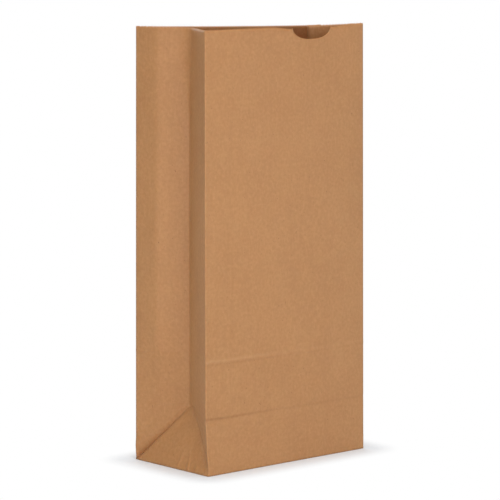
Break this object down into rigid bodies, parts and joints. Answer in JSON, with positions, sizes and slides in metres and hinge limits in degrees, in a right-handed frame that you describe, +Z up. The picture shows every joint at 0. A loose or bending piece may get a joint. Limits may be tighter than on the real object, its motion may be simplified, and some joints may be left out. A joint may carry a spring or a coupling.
{
  "type": "brown paper lunch bag",
  "caption": "Flat-bottomed gusseted brown kraft paper bag standing open, with a pinked mouth, a thumb notch in the front panel and a folded, glued base.",
  "frame": {"origin": "middle of the base, on the surface that the bag stands on", "axes": "+Z up through the mouth, -Y out of the front panel with the thumb notch, +X along the front panel from its wide-open gusset to its other gusset"},
  "size_m": [0.1303, 0.0701, 0.2702],
  "materials": {
    "kraft_paper": "matte brown kraft paper with a fine fibre mottle"
  },
  "bodies": {
    "root": {"paper_bag": "kraft_paper"}
  },
  "joints": []
}
